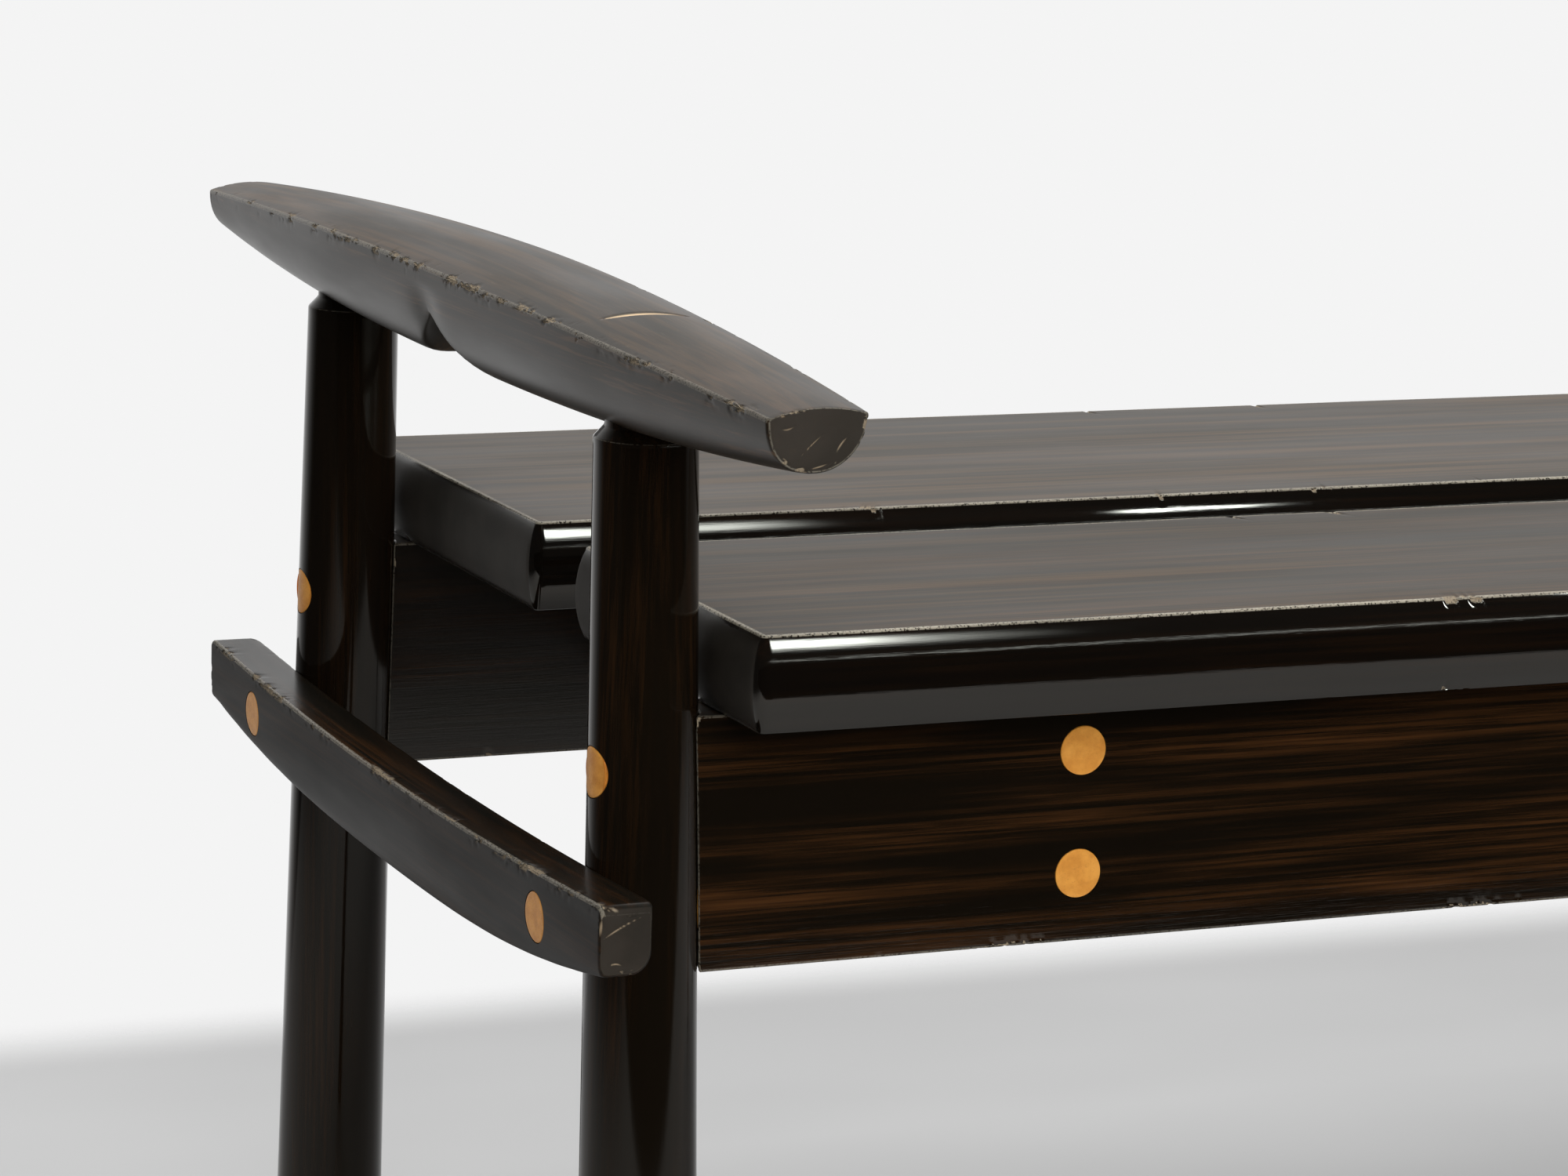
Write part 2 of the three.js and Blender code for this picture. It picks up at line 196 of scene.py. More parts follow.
def resample(line, count, trim_start, trim_end, crowded=False):
    """count points along a polyline after trimming its ends, even or crowded towards the ends."""
    steps = np.linalg.norm(np.diff(line, axis=0), axis=1)
    along = np.concatenate([[0], np.cumsum(steps)])
    share = np.linspace(0, 1, count)
    if crowded:
        share = (1 - np.cos(math.pi * share)) / 2
    places = trim_start + (along[-1] - trim_end - trim_start) * share
    return np.stack([np.interp(places, along, line[:, k]) for k in range(line.shape[1])], axis=1)


def rounded_outline(lines, counts, reach, steps=4):
    """Closed outline of polylines joined end to end, each join rounded over a reach.

    Returns the points and, for each, its closeness to the nearest rounded join, from 0 to 1.
    """
    points, closeness = [], []
    for index, line in enumerate(lines):
        trimmed = resample(line, counts[index], reach, reach, crowded=True)
        following = lines[(index + 1) % len(lines)]
        corner = line[-1]
        after = resample(following, 2, reach, reach)[0]
        share = np.linspace(0, 1, steps + 2)[1:-1, None]
        curve = (1 - share) ** 2 * trimmed[-1] + 2 * share * (1 - share) * corner + share**2 * after
        ends = np.minimum(
            np.linalg.norm(trimmed - line[0], axis=1), np.linalg.norm(trimmed - line[-1], axis=1)
        )
        points.extend([trimmed, curve])
        closeness.extend([np.exp(-(ends - reach) / OUTLINE_WEAR), np.ones(len(curve))])
    return np.concatenate(points), np.concatenate(closeness)


def box_section(low, high, side_points, reach):
    """Rounded outline of a rectangle, from its lowest and its highest corner."""
    corners = np.array([low, (high[0], low[1]), high, (low[0], high[1])], float)
    lines = [np.array([corners[k], corners[(k + 1) % 4]]) for k in range(4)]
    return rounded_outline(lines, side_points * 2, reach, steps=3)


def stations_with_ends(half, insets, stations):
    """Places along a piece, with those close to both its ends where the section is inset."""
    return [*(step - half for step in insets), *stations, *(half - step for step in reversed(insets))]


def skin(name, rings, wear=None, cap_steps=4):
    """Closed mesh over a row of closed rings, with both ends capped towards their middles."""
    rings = [np.asarray(ring, float) for ring in rings]
    wear = [np.zeros(len(rings[0]))] * len(rings) if wear is None else list(wear)
    for at in (0, -1):
        edge, edge_wear = rings[at], wear[at]
        middle = edge.mean(axis=0)
        for step in range(1, cap_steps):
            share = CAP_RIM + (1 - CAP_RIM) * (step - 1) / (cap_steps - 1)
            ring = edge + (middle - edge) * share
            fade = edge_wear * (0.5 if step == 1 else 0)
            place = 0 if at == 0 else len(rings)
            rings.insert(place, ring)
            wear.insert(place, fade)
    count = len(rings[0])
    points = np.concatenate(rings)
    column = np.arange(count)
    following = (column + 1) % count
    quads = []
    for row in range(len(rings) - 1):
        a = row * count
        b = a + count
        quads.append(np.stack([a + column, a + following, b + following, b + column], 1))
    faces = np.concatenate(quads).tolist()
    last = (len(rings) - 1) * count
    faces.append(column[::-1].tolist())
    faces.append((last + column).tolist())
    mesh = bpy.data.meshes.new(name)
    mesh.from_pydata((points * MM).tolist(), [], faces)
    attribute = mesh.attributes.new("arris", "FLOAT", "POINT")
    attribute.data.foreach_set("value", np.concatenate(wear).astype(np.float32))
    return finish_mesh(mesh, name)


def finish_mesh(mesh, name):
    if signed_volume(mesh) < 0:
        mesh.flip_normals()
    mesh.polygons.foreach_set("use_smooth", [True] * len(mesh.polygons))
    mesh.update()
    piece = bpy.data.objects.new(name, mesh)
    bpy.context.scene.collection.objects.link(piece)
    return piece


def vertex_vectors(mesh, kind):
    """Every vertex's place, for the kind co, or its normal, for the kind normal."""
    values = np.zeros(len(mesh.vertices) * 3)
    mesh.vertices.foreach_get(kind, values)
    return values.reshape(-1, 3)


def signed_volume(mesh):
    mesh.calc_loop_triangles()
    points = vertex_vectors(mesh, "co")
    corners = np.zeros(len(mesh.loop_triangles) * 3, np.int32)
    mesh.loop_triangles.foreach_get("vertices", corners)
    a, b, c = (points[corners.reshape(-1, 3)[:, k]] for k in range(3))
    return float(np.einsum("ij,ij->i", a, np.cross(b, c)).sum())


def chip_arrises(piece, axis, depth, seed, size, threshold, spots=()):
    """Knocks small chips out of the worn arrises and marks them for the material.

    Chips are longer along the grain, which runs along the axis. Each spot is a place along it
    and the half length of a stretch that is chipped all along.
    """
    mesh = piece.data
    count = len(mesh.vertices)
    points = vertex_vectors(mesh, "co")
    normals = vertex_vectors(mesh, "normal")
    closeness = np.zeros(count, np.float32)
    mesh.attributes["arris"].data.foreach_get("value", closeness)
    chipped = np.zeros(count, np.float32)
    spacing = np.full(3, size * MM)
    spacing[axis] *= CHIP_STRETCH
    for index in np.nonzero(closeness > 0.05)[0]:
        place = Vector(points[index] / spacing) + Vector((seed, 3.1 * seed, 7.7 * seed))
        patches = noise.noise(place * 0.3)
        flakes = noise.noise(place) * 0.6 + noise.noise(place * 2.7) * 0.4
        here = points[index][axis] / MM
        bruise = max((math.exp(-(((here - at) / reach) ** 4)) for at, reach in spots), default=0)
        rough = flakes * 0.6 + patches * 0.7 + bruise * (0.34 + 0.9 * noise.noise(place * 1.9))
        chipped[index] = smoothstep(threshold, threshold + 0.12, rough)
    chipped *= closeness
    points -= normals * (chipped * depth * MM)[:, None]
    mesh.vertices.foreach_set("co", points.ravel())
    mesh.attributes.new("chip", "FLOAT", "POINT").data.foreach_set("value", chipped)
    mesh.update()


def gouge(piece, axis, way, start, end, bow, width, depth, bare=1.0, reach=None):
    """Cuts a bowed scratch into the faces that look one way along an axis.

    start and end lie in the two other axes. bare is how pale the scratch is, and reach limits
    it to faces that lie this close to the piece's own end along the axis.
    """
    mesh = piece.data
    count = len(mesh.vertices)
    points = vertex_vectors(mesh, "co")
    outward = vertex_vectors(mesh, "normal")[:, axis] * way
    marks = mesh.attributes.get("scratch") or mesh.attributes.new("scratch", "FLOAT", "POINT")
    marked = np.zeros(count, np.float32)
    marks.data.foreach_get("value", marked)
    facing = outward > 0.5
    if reach:
        along_way = points[:, axis] * way
        facing &= along_way.max() - along_way < reach * MM
    start, end = np.array(start), np.array(end)
    length = np.linalg.norm(end - start)
    forward = (end - start) / length
    sideways = np.array([-forward[1], forward[0]])
    flat = points[:, [k for k in range(3) if k != axis]] / MM - start
    share = np.clip(flat @ forward / length, 0, 1)
    bowed = bow * 4 * share * (1 - share)
    taper = np.sqrt(4 * share * (1 - share))
    half_width = width * (0.35 + 0.65 * taper)
    cut = np.exp(-(((flat @ sideways - bowed) / half_width) ** 2)) * taper * facing
    points[:, axis] -= way * cut * depth * MM
    mesh.vertices.foreach_set("co", points.ravel())
    marks.data.foreach_set("value", np.maximum(marked, cut * bare).astype(np.float32))
    mesh.update()


def drill(piece, cutters):
    """Cuts the cutters' holes into a piece and removes the cutters."""
    for cutter in cutters:
        cut = piece.modifiers.new("hole", "BOOLEAN")
        cut.operation = "DIFFERENCE"
        cut.solver = "EXACT"
        cut.object = cutter
    graph = bpy.context.evaluated_depsgraph_get()
    drilled = bpy.data.meshes.new_from_object(piece.evaluated_get(graph))
    piece.modifiers.clear()
    piece.data = drilled
    for cutter in cutters:
        bpy.data.objects.remove(cutter)


def dress(piece, material, slot, *nodes):
    """Material, crisp arrises, and the CAD nodes that a piece stands for."""
    piece.data.materials.clear()
    piece.data.materials.append(material)
    piece.data.set_sharp_from_angle(angle=SHARP_ANGLE)
    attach(piece, "root")
    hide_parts(*nodes)


# Seat planks


def plank_profile():
    """Outward offset and height above the underside, from the top face round to the underside."""
    thickness = SEAT_TOP - PLANK_UNDERSIDE
    half = thickness / 2
    radius = (half * half + PLANK_BULGE**2) / (2 * PLANK_BULGE)
    heights = np.linspace(thickness, 0, CURVE_POINTS)
    bulge = np.sqrt(radius**2 - (heights - half) ** 2) - (radius - PLANK_BULGE)
    side = np.stack([bulge, heights], axis=1)
    top = np.array([[-PLANK_RIM, thickness], [0, thickness]], float)
    below = np.array([[0, 0], [-PLANK_RIM, 0]], float)
    first = resample(top, 5, 0, PLANK_ARRIS)
    middle = resample(side, 15, PLANK_ARRIS, PLANK_ARRIS)
    last = resample(below, 3, PLANK_ARRIS, 0)
    share = np.linspace(0, 1, 6)[1:-1, None]

    def corner(start, at, end):
        return (1 - share) ** 2 * start + 2 * share * (1 - share) * at + share**2 * end

    upper = corner(first[-1], side[0], middle[0])
    lower = corner(middle[-1], side[-1], last[0])
    profile = np.concatenate([first, upper, middle, lower, last])

    def wear_around(height):
        away = np.linalg.norm(profile - np.array([0, height]), axis=1) - PLANK_ARRIS
        return np.exp(-np.maximum(0, away) / ARRIS_WEAR)

    return profile, np.maximum(wear_around(thickness), 0.75 * wear_around(0))


def plank_ring(low, high, offset, z, seed):
    """Rectangle with softened corners; its long edges wander by a hair, as hand planing leaves them."""
    x_low, x_high = low[0] - offset, high[0] + offset
    y_low, y_high = low[1] - offset, high[1] + offset
    corner = max(PLANK_CORNER + offset, 0.4)
    left, right, front, back = x_low + corner, x_high - corner, y_low + corner, y_high - corner
    long_edge = np.linspace(left, right, LONG_EDGE_POINTS)
    short_edge = np.linspace(front, back, SHORT_EDGE_POINTS)
    turn = np.linspace(0, math.pi / 2, 7)[1:-1]
    sine, cosine = corner * np.sin(turn), corner * np.cos(turn)
    sweep = [
        (long_edge, y_low), (right + sine, front - cosine),
        (x_high, short_edge), (right + cosine, back + sine),
        (long_edge[::-1], y_high), (left - sine, back + cosine),
        (x_low, short_edge[::-1]), (left - cosine, front - sine),
    ]
    ring = np.concatenate([np.column_stack(np.broadcast_arrays(x, y)) for x, y in sweep])
    wander = 0.25 * np.sin(ring[:, 0] * 0.021 + seed) + 0.15 * np.sin(ring[:, 0] * 0.047 + 2.3 * seed)
    inward = np.where(ring[:, 1] > (y_low + y_high) / 2, -1, 1)
    ring[:, 1] += inward * (0.4 + wander)
    return np.column_stack([ring, np.full(len(ring), z)])


def seat_plank(name, node, seed, material, spots=()):
    low, high = box_mm(node)
    low, high = low + PLANK_BULGE, high - PLANK_BULGE
    profile, closeness = plank_profile()
    rings = [plank_ring(low, high, offset, PLANK_UNDERSIDE + height, seed) for offset, height in profile]
    wear = [np.full(len(rings[0]), close) for close in closeness]
    plank = skin(name, rings, wear, cap_steps=1)
    chip_arrises(plank, 0, depth=1.1, seed=seed, size=2.4, threshold=0.50, spots=spots)
    dress(plank, material, "dark_wood", node)


# Posts


def post(name, node, x_side, y_side, seed):
    """Turned post whose surface keeps the slight unevenness of hand finishing."""
    top = box_mm(node)[1][2]
    shoulder = top - SHOULDER_DROP
    stations = [(0, FOOT_RADIUS - 1.2), (0.5, FOOT_RADIUS - 0.4), (1.6, FOOT_RADIUS)]
    stations += [(z, post_radius(z)) for z in np.linspace(8, shoulder - 3, POST_STATIONS)]
    full = post_radius(shoulder)
    slope = (full - NECK_RADIUS) / SHOULDER_CHAMFER
    neck = shoulder + SHOULDER_CHAMFER
    stations += [(shoulder - 0.6, full), (shoulder, full - 0.15)]
    stations += [(shoulder + 0.6, full - 0.6 * slope - 0.1), (neck - 0.5, NECK_RADIUS + 0.5 * slope)]
    stations += [(neck + 0.4, NECK_RADIUS), (top - 1, NECK_RADIUS), (top, NECK_RADIUS - 1)]
    turn = np.linspace(0, 2 * math.pi, POST_SIDES, endpoint=False)
    rings, wear = [], []
    for z, radius in stations:
        uneven = 0.09 * np.sin(2 * turn + 0.012 * z + seed)
        uneven += 0.05 * np.sin(5 * turn - 0.017 * z + 2 * seed)
        worn = radius - 0.16 + uneven
        rings.append(np.column_stack([
            x_side * POST_X + worn * np.cos(turn),
            y_side * post_y(z) + worn * np.sin(turn),
            np.full(POST_SIDES, z),
        ]))
        wear.append(np.full(POST_SIDES, math.exp(-abs(z - shoulder) / ARRIS_WEAR)))
    piece = skin(name, rings, wear)
    chip_arrises(piece, 2, depth=0.25, seed=seed, size=3, threshold=0.55)
    return piece


# Long rails


def cope(x_side, y_side, y, z):
    """Where the rail's end meets the round post, measured along X."""
    reach = (post_radius(z) + DOWEL_GAP) ** 2 - (y - y_side * post_y(z)) ** 2
    return x_side * (POST_X - np.sqrt(np.maximum(reach, 1)))


def rail(name, node, y_side, seed, spots=()):
    low, high = box_mm(node)
    low, high = low[1:], high[1:]
    section, closeness = box_section(low, high, RAIL_SIDE_POINTS, RAIL_ARRIS)
    small, _ = box_section(low + RAIL_END_INSET, high - RAIL_END_INSET, RAIL_SIDE_POINTS, RAIL_ARRIS)
    middle = section.mean(axis=0)
    bare, full = np.zeros(len(section)), np.ones(len(section))

    def at(share, outline, back_off):
        y, z = outline[:, 0], outline[:, 1]
        left = cope(-1, y_side, y, z) + back_off
        right = cope(1, y_side, y, z) - back_off
        return np.column_stack([left + (right - left) * share, y, z])

    end_face = [middle + (small - middle) * scale for scale in RAIL_END_SCALES]
    lengthwise = np.linspace(0, 1, RAIL_STATIONS + 2)
    rings = [at(0, outline, 0) for outline in (*end_face, small)]
    rings += [at(share, section, RAIL_END_SETBACK) for share in lengthwise]
    rings += [at(1, outline, 0) for outline in (small, *end_face[::-1])]
    end_wear = [bare] * len(end_face) + [full] * 2
    wear = end_wear + [closeness**2] * RAIL_STATIONS + end_wear[::-1]
    piece = skin(name, rings, wear, cap_steps=1)
    chip_arrises(piece, 0, depth=0.35, seed=seed, size=1.5, threshold=0.50, spots=spots)
    return piece


# Bearers


def bearer(name, node, material):
    low, high = box_mm(node)
    section, closeness = box_section(low[::2], high[::2], BEARER_SIDE_POINTS, BEARER_ARRIS)
    rings = [
        np.column_stack([section[:, 0], np.full(len(section), y), section[:, 1]])
        for y in np.linspace(low[1], high[1], BEARER_STATIONS)
    ]
    piece = skin(name, rings, [closeness] * len(rings))
    chip_arrises(piece, 1, depth=0.3, seed=low[0] * 0.01, size=4, threshold=0.42)
    dress(piece, material, "dark_wood", node)


# Head bars


def bar_section(y, half_length, x_side):
    """Crowned top and bellied underside at one place along the bar, across and up."""
    reach = min(abs(y) / half_length, 1)
    fullness = 1 - reach**BAR_PLAN_POWER
    width = blend(BAR_END_HALF_WIDTH, BAR_MIDDLE_HALF_WIDTH, fullness)
    edge = SEAT_TOP + blend(BAR_END_EDGE, BAR_MIDDLE_EDGE, fullness)
    crown = blend(BAR_END_CROWN, BAR_MIDDLE_CROWN, 1 - reach**2)
    depth = blend(BAR_END_DEPTH, BAR_MIDDLE_DEPTH, 1 - reach**BAR_BELLY_POWER)
    across = np.linspace(-1, 1, CURVE_POINTS)
    top = np.stack([width * across, edge + crown * (1 - across**2)], 1)
    turn = np.linspace(0, math.pi, 2 * CURVE_POINTS)
    sideways, down = np.cos(turn), np.sin(turn).clip(0)
    power = 2 / np.where(sideways * x_side > 0, BAR_OUTER_SQUARENESS, BAR_INNER_SQUARENESS)
    reach_out = width * np.sign(sideways) * np.abs(sideways) ** power
    belly = np.stack([reach_out, edge - depth * down**power], 1)
    return rounded_outline([top, belly], BAR_OUTLINE_POINTS, BAR_ARRIS)


def cleft_height(from_cleft):
    """Height of the cleft's roof at a distance along the bar from the cleft's middle."""
    start = SEAT_TOP + BAR_MIDDLE_EDGE - BAR_MIDDLE_DEPTH - CLEFT_START
    across = min(abs(from_cleft) / CLEFT_HALF_WIDTH, 1)
    return start + (SEAT_TOP + CLEFT_TOP - start) * (1 - across) ** CLEFT_POWER


def soft_maximum(values, floor, softness):
    over = (values - floor) / softness
    return floor + softness * np.logaddexp(0, np.clip(over, -40, 40))


def valley(from_cleft, outline, edge):
    """How far the bar's flanks are hollowed above the cleft, where its two lobes meet."""
    drop = np.clip((edge - VALLEY_START - outline[:, 1]) / VALLEY_FADE, 0, 1)
    return VALLEY_DEPTH * math.exp(-((from_cleft / VALLEY_HALF_WIDTH) ** 2)) * drop * (2 - drop)


def head_bar(name, node, x_side, seed, material, scratches=()):
    low, high = box_mm(node)
    half = (high[1] - low[1]) / 2
    plain = np.linspace(-half + BAR_END_MARGIN, half - BAR_END_MARGIN, BAR_STATIONS)
    fine = CLEFT_Y + np.linspace(-CLEFT_HALF_WIDTH, CLEFT_HALF_WIDTH, CLEFT_STATIONS)
    stations = np.concatenate([plain[np.abs(plain - CLEFT_Y) > CLEFT_HALF_WIDTH], fine])
    for scratch in scratches:
        if scratch["axis"] == 2:
            across = scratch["start"][1]
            before, after = SCRATCH_REACH
            around = np.linspace(across - before, across + after, SCRATCH_STATIONS)
            stations = np.concatenate([stations, around])
    stations = np.unique(np.round(stations, 3))
    rings, wear = [], []
    for y in stations_with_ends(half, BAR_END_INSETS, stations):
        outline, closeness = bar_section(y, half, x_side)
        inset = BAR_END_INSETS.get(round(half - abs(y), 3), 0)
        middle = outline.mean(axis=0)
        outline = middle + (outline - middle) * (1 - inset / BAR_END_HALF_WIDTH)
        edge = SEAT_TOP + BAR_MIDDLE_EDGE
        below = outline[:, 1] < edge - CLEFT_CLEARANCE
        if abs(y - CLEFT_Y) < CLEFT_HALF_WIDTH:
            outline[:, 0] -= np.sign(outline[:, 0]) * valley(y - CLEFT_Y, outline, edge)
            lifted = soft_maximum(outline[:, 1], cleft_height(y - CLEFT_Y), CLEFT_SOFTNESS)
            outline[:, 1] = np.where(below, lifted, outline[:, 1])
        z = outline[:, 1] - x_side * BAR_LEAN * outline[:, 0] + BAR_RISE_TO_BACK * y
        rings.append(np.column_stack([x_side * POST_X + outline[:, 0], np.full(len(z), y), z]))
        at_end = math.exp(-(half - abs(y)) / ARRIS_WEAR)
        wear.append(np.maximum(closeness, at_end))
    piece = skin(name, rings, wear, cap_steps=MARKED_END_RINGS)
    chip_arrises(piece, 1, depth=0.7, seed=seed, size=1.7, threshold=0.2)
    for scratch in scratches:
        gouge(piece, **scratch)
    dress(piece, material, "dark_wood", node)


# End stretchers


def stretcher_section(y, half_length):
    """Flat back and top, bulging outer face and rounded keel at one place along the stretcher."""
    share = 1 - min(abs(y) / half_length, 1) ** 2
    inner = STRETCHER_INNER
    outer = blend(STRETCHER_END_OUTER, STRETCHER_MIDDLE_OUTER, share)
    top = SEAT_TOP + blend(STRETCHER_END_TOP, STRETCHER_MIDDLE_TOP, share)
    bottom = SEAT_TOP + blend(STRETCHER_END_BOTTOM, STRETCHER_MIDDLE_BOTTOM, share)
    back_off = half_length - abs(y)
    corner = STRETCHER_BACK_CORNER if y > 0 else STRETCHER_FRONT_CORNER
    if back_off < corner:
        top -= corner - math.sqrt(max(corner**2 - (corner - back_off) ** 2, 0))
    if y > 0 and back_off < STRETCHER_PLAN_CORNER:
        radius = STRETCHER_PLAN_CORNER
        inner += STRETCHER_PLAN_SHARE * (radius - math.sqrt(max(radius**2 - (radius - back_off) ** 2, 0)))
    keel = outer + (inner - outer) * blend(STRETCHER_END_KEEL, STRETCHER_MIDDLE_KEEL, share)
    power = 2 / blend(STRETCHER_END_SQUARENESS, STRETCHER_MIDDLE_SQUARENESS, share)
    turn = np.linspace(0, math.pi / 2, CURVE_POINTS)
    bulge = np.stack([
        keel + (outer - keel) * np.cos(turn) ** power,
        top - (top - bottom) * np.sin(turn) ** power,
    ], 1)
    width = min(STRETCHER_INNER_ROUND, keel - inner)
    round_off = np.stack([
        inner + width * (1 - np.sin(turn)),
        bottom + STRETCHER_INNER_ROUND * (1 - np.cos(turn)),
    ], 1)
    flat_back = np.array([round_off[-1], [inner, top]])
    flat_top = np.array([[inner, top], [outer, top]])
    face = np.concatenate([bulge, round_off[1:]])
    return rounded_outline([flat_top, face, flat_back], STRETCHER_OUTLINE_POINTS, STRETCHER_ARRIS)


def stretcher(name, node, x_side, seed, scratches=()):
    low, high = box_mm(node)
    half = (high[1] - low[1]) / 2
    margin = STRETCHER_END_MARGIN
    stations = np.linspace(-half + margin, half - margin, STRETCHER_STATIONS)
    rings, wear = [], []
    for y in stations_with_ends(half, STRETCHER_END_INSETS, stations):
        outline, closeness = stretcher_section(y, half)
        inset = STRETCHER_END_INSETS.get(round(half - abs(y), 3), 0)
        middle = outline.mean(axis=0)
        outline = middle + (outline - middle) * (1 - inset / STRETCHER_END_HALF_WIDTH)
        rings.append(np.column_stack([
            x_side * (POST_X + outline[:, 0]), np.full(len(outline), y), outline[:, 1],
        ]))
        outward = smoothstep(STRETCHER_INNER + 4, STRETCHER_END_OUTER - 8, outline[:, 0])
        at_end = 0.85 * math.exp(-(half - abs(y)))
        wear.append(np.maximum(closeness * (0.15 + 0.85 * outward), at_end))
    piece = skin(name, rings, wear, cap_steps=MARKED_END_RINGS)
    chip_arrises(piece, 1, depth=0.8, seed=seed, size=2.0, threshold=0.15)
    for scratch in scratches:
        gouge(piece, **scratch)
    return piece


# Dowels


def dowel_ring(centre, axis, offset, radius):
    """Circle across one axis, at an offset along it from a centre."""
    turn = np.linspace(0, 2 * math.pi, DOWEL_SIDES, endpoint=False)
    others = [k for k in range(3) if k != axis]
    ring = np.tile(np.array(centre, float), (DOWEL_SIDES, 1))
    ring[:, axis] = offset
    ring[:, others[0]] += radius * np.cos(turn)
    ring[:, others[1]] += radius * np.sin(turn)
    return ring


def dowel_span(node, axis, way):
    """A dowel's centre, and where its inner and its show end lie along its axis."""
    low, high = box_mm(node)
    inner, outer = (low[axis], high[axis]) if way > 0 else (high[axis], low[axis])
    return (low + high) / 2, inner, outer


def dowel_shape(node, axis, way):
    """Rings of a dowel from its inner end out to its show face."""
    centre, inner, outer = dowel_span(node, axis, way)
    radius = DOWEL_RADIUS
    shank = np.linspace(inner + way * 4, outer - way * 2, SHANK_RINGS)
    rings = [dowel_ring(centre, axis, inner, radius - 0.8)]
    rings += [dowel_ring(centre, axis, place, radius) for place in (inner + way * 0.8, *shank)]
    show = [(0.5, radius), (0.12, radius - 0.12), (0, radius - 0.5)]
    show += [(0, radius * share) for share in (0.85, 0.65, 0.45, 0.25, 0.08)]
    rings += [dowel_ring(centre, axis, outer - way * back, r) for back, r in show]
    return rings


def seat_flush(rings, host, axis, way):
    """Moves the show face of a dowel onto the surface of the piece that it comes out of."""
    tree = BVHTree.FromObject(host, bpy.context.evaluated_depsgraph_get())
    outer = rings[-1][:, axis].mean()
    inward = Vector([-way if k == axis else 0 for k in range(3)])
    for ring in rings[SHANK_RINGS + 2:]:
        for point in ring:
            start = Vector(point * MM) - inward * (SEARCH_START * MM)
            hit = tree.ray_cast(start, inward)[0]
            if hit is not None:
                back = outer - point[axis]
                point[axis] = hit[axis] / MM - back
    return rings


def show_dowel(name, node, axis, way, host, material):
    """Dowel that shows at one end, flush with the surface of the piece it comes out of."""
    rings = seat_flush(dowel_shape(node, axis, way), host, axis, way)
    piece = skin(name, rings, cap_steps=1)
    dress(piece, material, "dowel_wood", node)


def hole_cutter(node, axis, way):
    """Plain cylinder that cuts a dowel's hole, a gap wider and deeper than the dowel."""
    centre, inner, outer = dowel_span(node, axis, way)
    radius = DOWEL_RADIUS + DOWEL_GAP
    ends = (inner - way * DOWEL_GAP, outer + way * CUTTER_OVERSHOOT)
    return skin("cutter", [dowel_ring(centre, axis, place, radius) for place in ends], cap_steps=1)


# Materials


class Shader:
    """Node tree of one material, with short calls for the nodes that wood needs."""

    def __init__(self, name):
        self.material = bpy.data.materials.new(name)
        self.material.use_nodes = True
        self.tree = self.material.node_tree
        self.surface = self.tree.nodes["Principled BSDF"]
        self.place = self.node("ShaderNodeTexCoord").outputs["Object"]

    def node(self, kind, **settings):
        made = self.tree.nodes.new(kind)
        for key, value in settings.items():
            setattr(made, key, value)
        return made

    def feed(self, socket, value):
        if isinstance(value, bpy.types.NodeSocket):
            self.tree.links.new(value, socket)
        elif value is not None:
            socket.default_value = value

    def stretched(self, scale, shift=(0, 0, 0)):
        mapping = self.node("ShaderNodeMapping")
        self.feed(mapping.inputs["Vector"], self.place)
        mapping.inputs["Scale"].default_value = scale
        mapping.inputs["Location"].default_value = shift
        return mapping.outputs["Vector"]

    def noise(self, vector, detail=3.0, roughness=0.55, distortion=0.0):
        made = self.node("ShaderNodeTexNoise")
        self.feed(made.inputs["Vector"], vector)
        made.inputs["Scale"].default_value = 1.0
        made.inputs["Detail"].default_value = detail
        made.inputs["Roughness"].default_value = roughness
        made.inputs["Distortion"].default_value = distortion
        return made.outputs["Fac"]

    def step(self, value, low, high, to_low=0.0, to_high=1.0):
        made = self.node("ShaderNodeMapRange", interpolation_type="SMOOTHSTEP")
        self.feed(made.inputs["Value"], value)
        made.inputs["From Min"].default_value = low
        made.inputs["From Max"].default_value = high
        made.inputs["To Min"].default_value = to_low
        made.inputs["To Max"].default_value = to_high
        return made.outputs["Result"]

    def math(self, operation, first, second=0.0):
        made = self.node("ShaderNodeMath", operation=operation)
        self.feed(made.inputs[0], first)
        self.feed(made.inputs[1], second)
        return made.outputs["Value"]

    def mix(self, share, first, second):
        made = self.node("ShaderNodeMix", data_type="RGBA")
        self.feed(made.inputs["Factor"], share)
        self.feed(made.inputs["A"], first)
        self.feed(made.inputs["B"], second)
        return made.outputs["Result"]

    def between(self, share, first, second):
        made = self.node("ShaderNodeMix", data_type="FLOAT")
        self.feed(made.inputs["Factor"], share)
        self.feed(made.inputs["A"], first)
        self.feed(made.inputs["B"], second)
        return made.outputs["Result"]

    def attribute(self, name):
        return self.node("ShaderNodeAttribute", attribute_name=name).outputs["Fac"]

    def facing(self, axis):
        """How squarely the surface faces along an axis, from -1 to 1."""
        split = self.node("ShaderNodeSeparateXYZ")
        self.feed(split.inputs["Vector"], self.node("ShaderNodeNewGeometry").outputs["Normal"])
        return split.outputs["XYZ"[axis]]

    def bump(self, height, distance, strength, normal=None):
        made = self.node("ShaderNodeBump")
        made.inputs["Distance"].default_value = distance
        made.inputs["Strength"].default_value = strength
        self.feed(made.inputs["Height"], height)
        self.feed(made.inputs["Normal"], normal)
        return made.outputs["Normal"]


def along(axis, lengthwise, crosswise):
    """Scale that stretches a pattern along one axis."""
    return tuple(lengthwise if k == axis else crosswise for k in range(3))


def tint(red, green, blue):
    return (red, green, blue, 1.0)


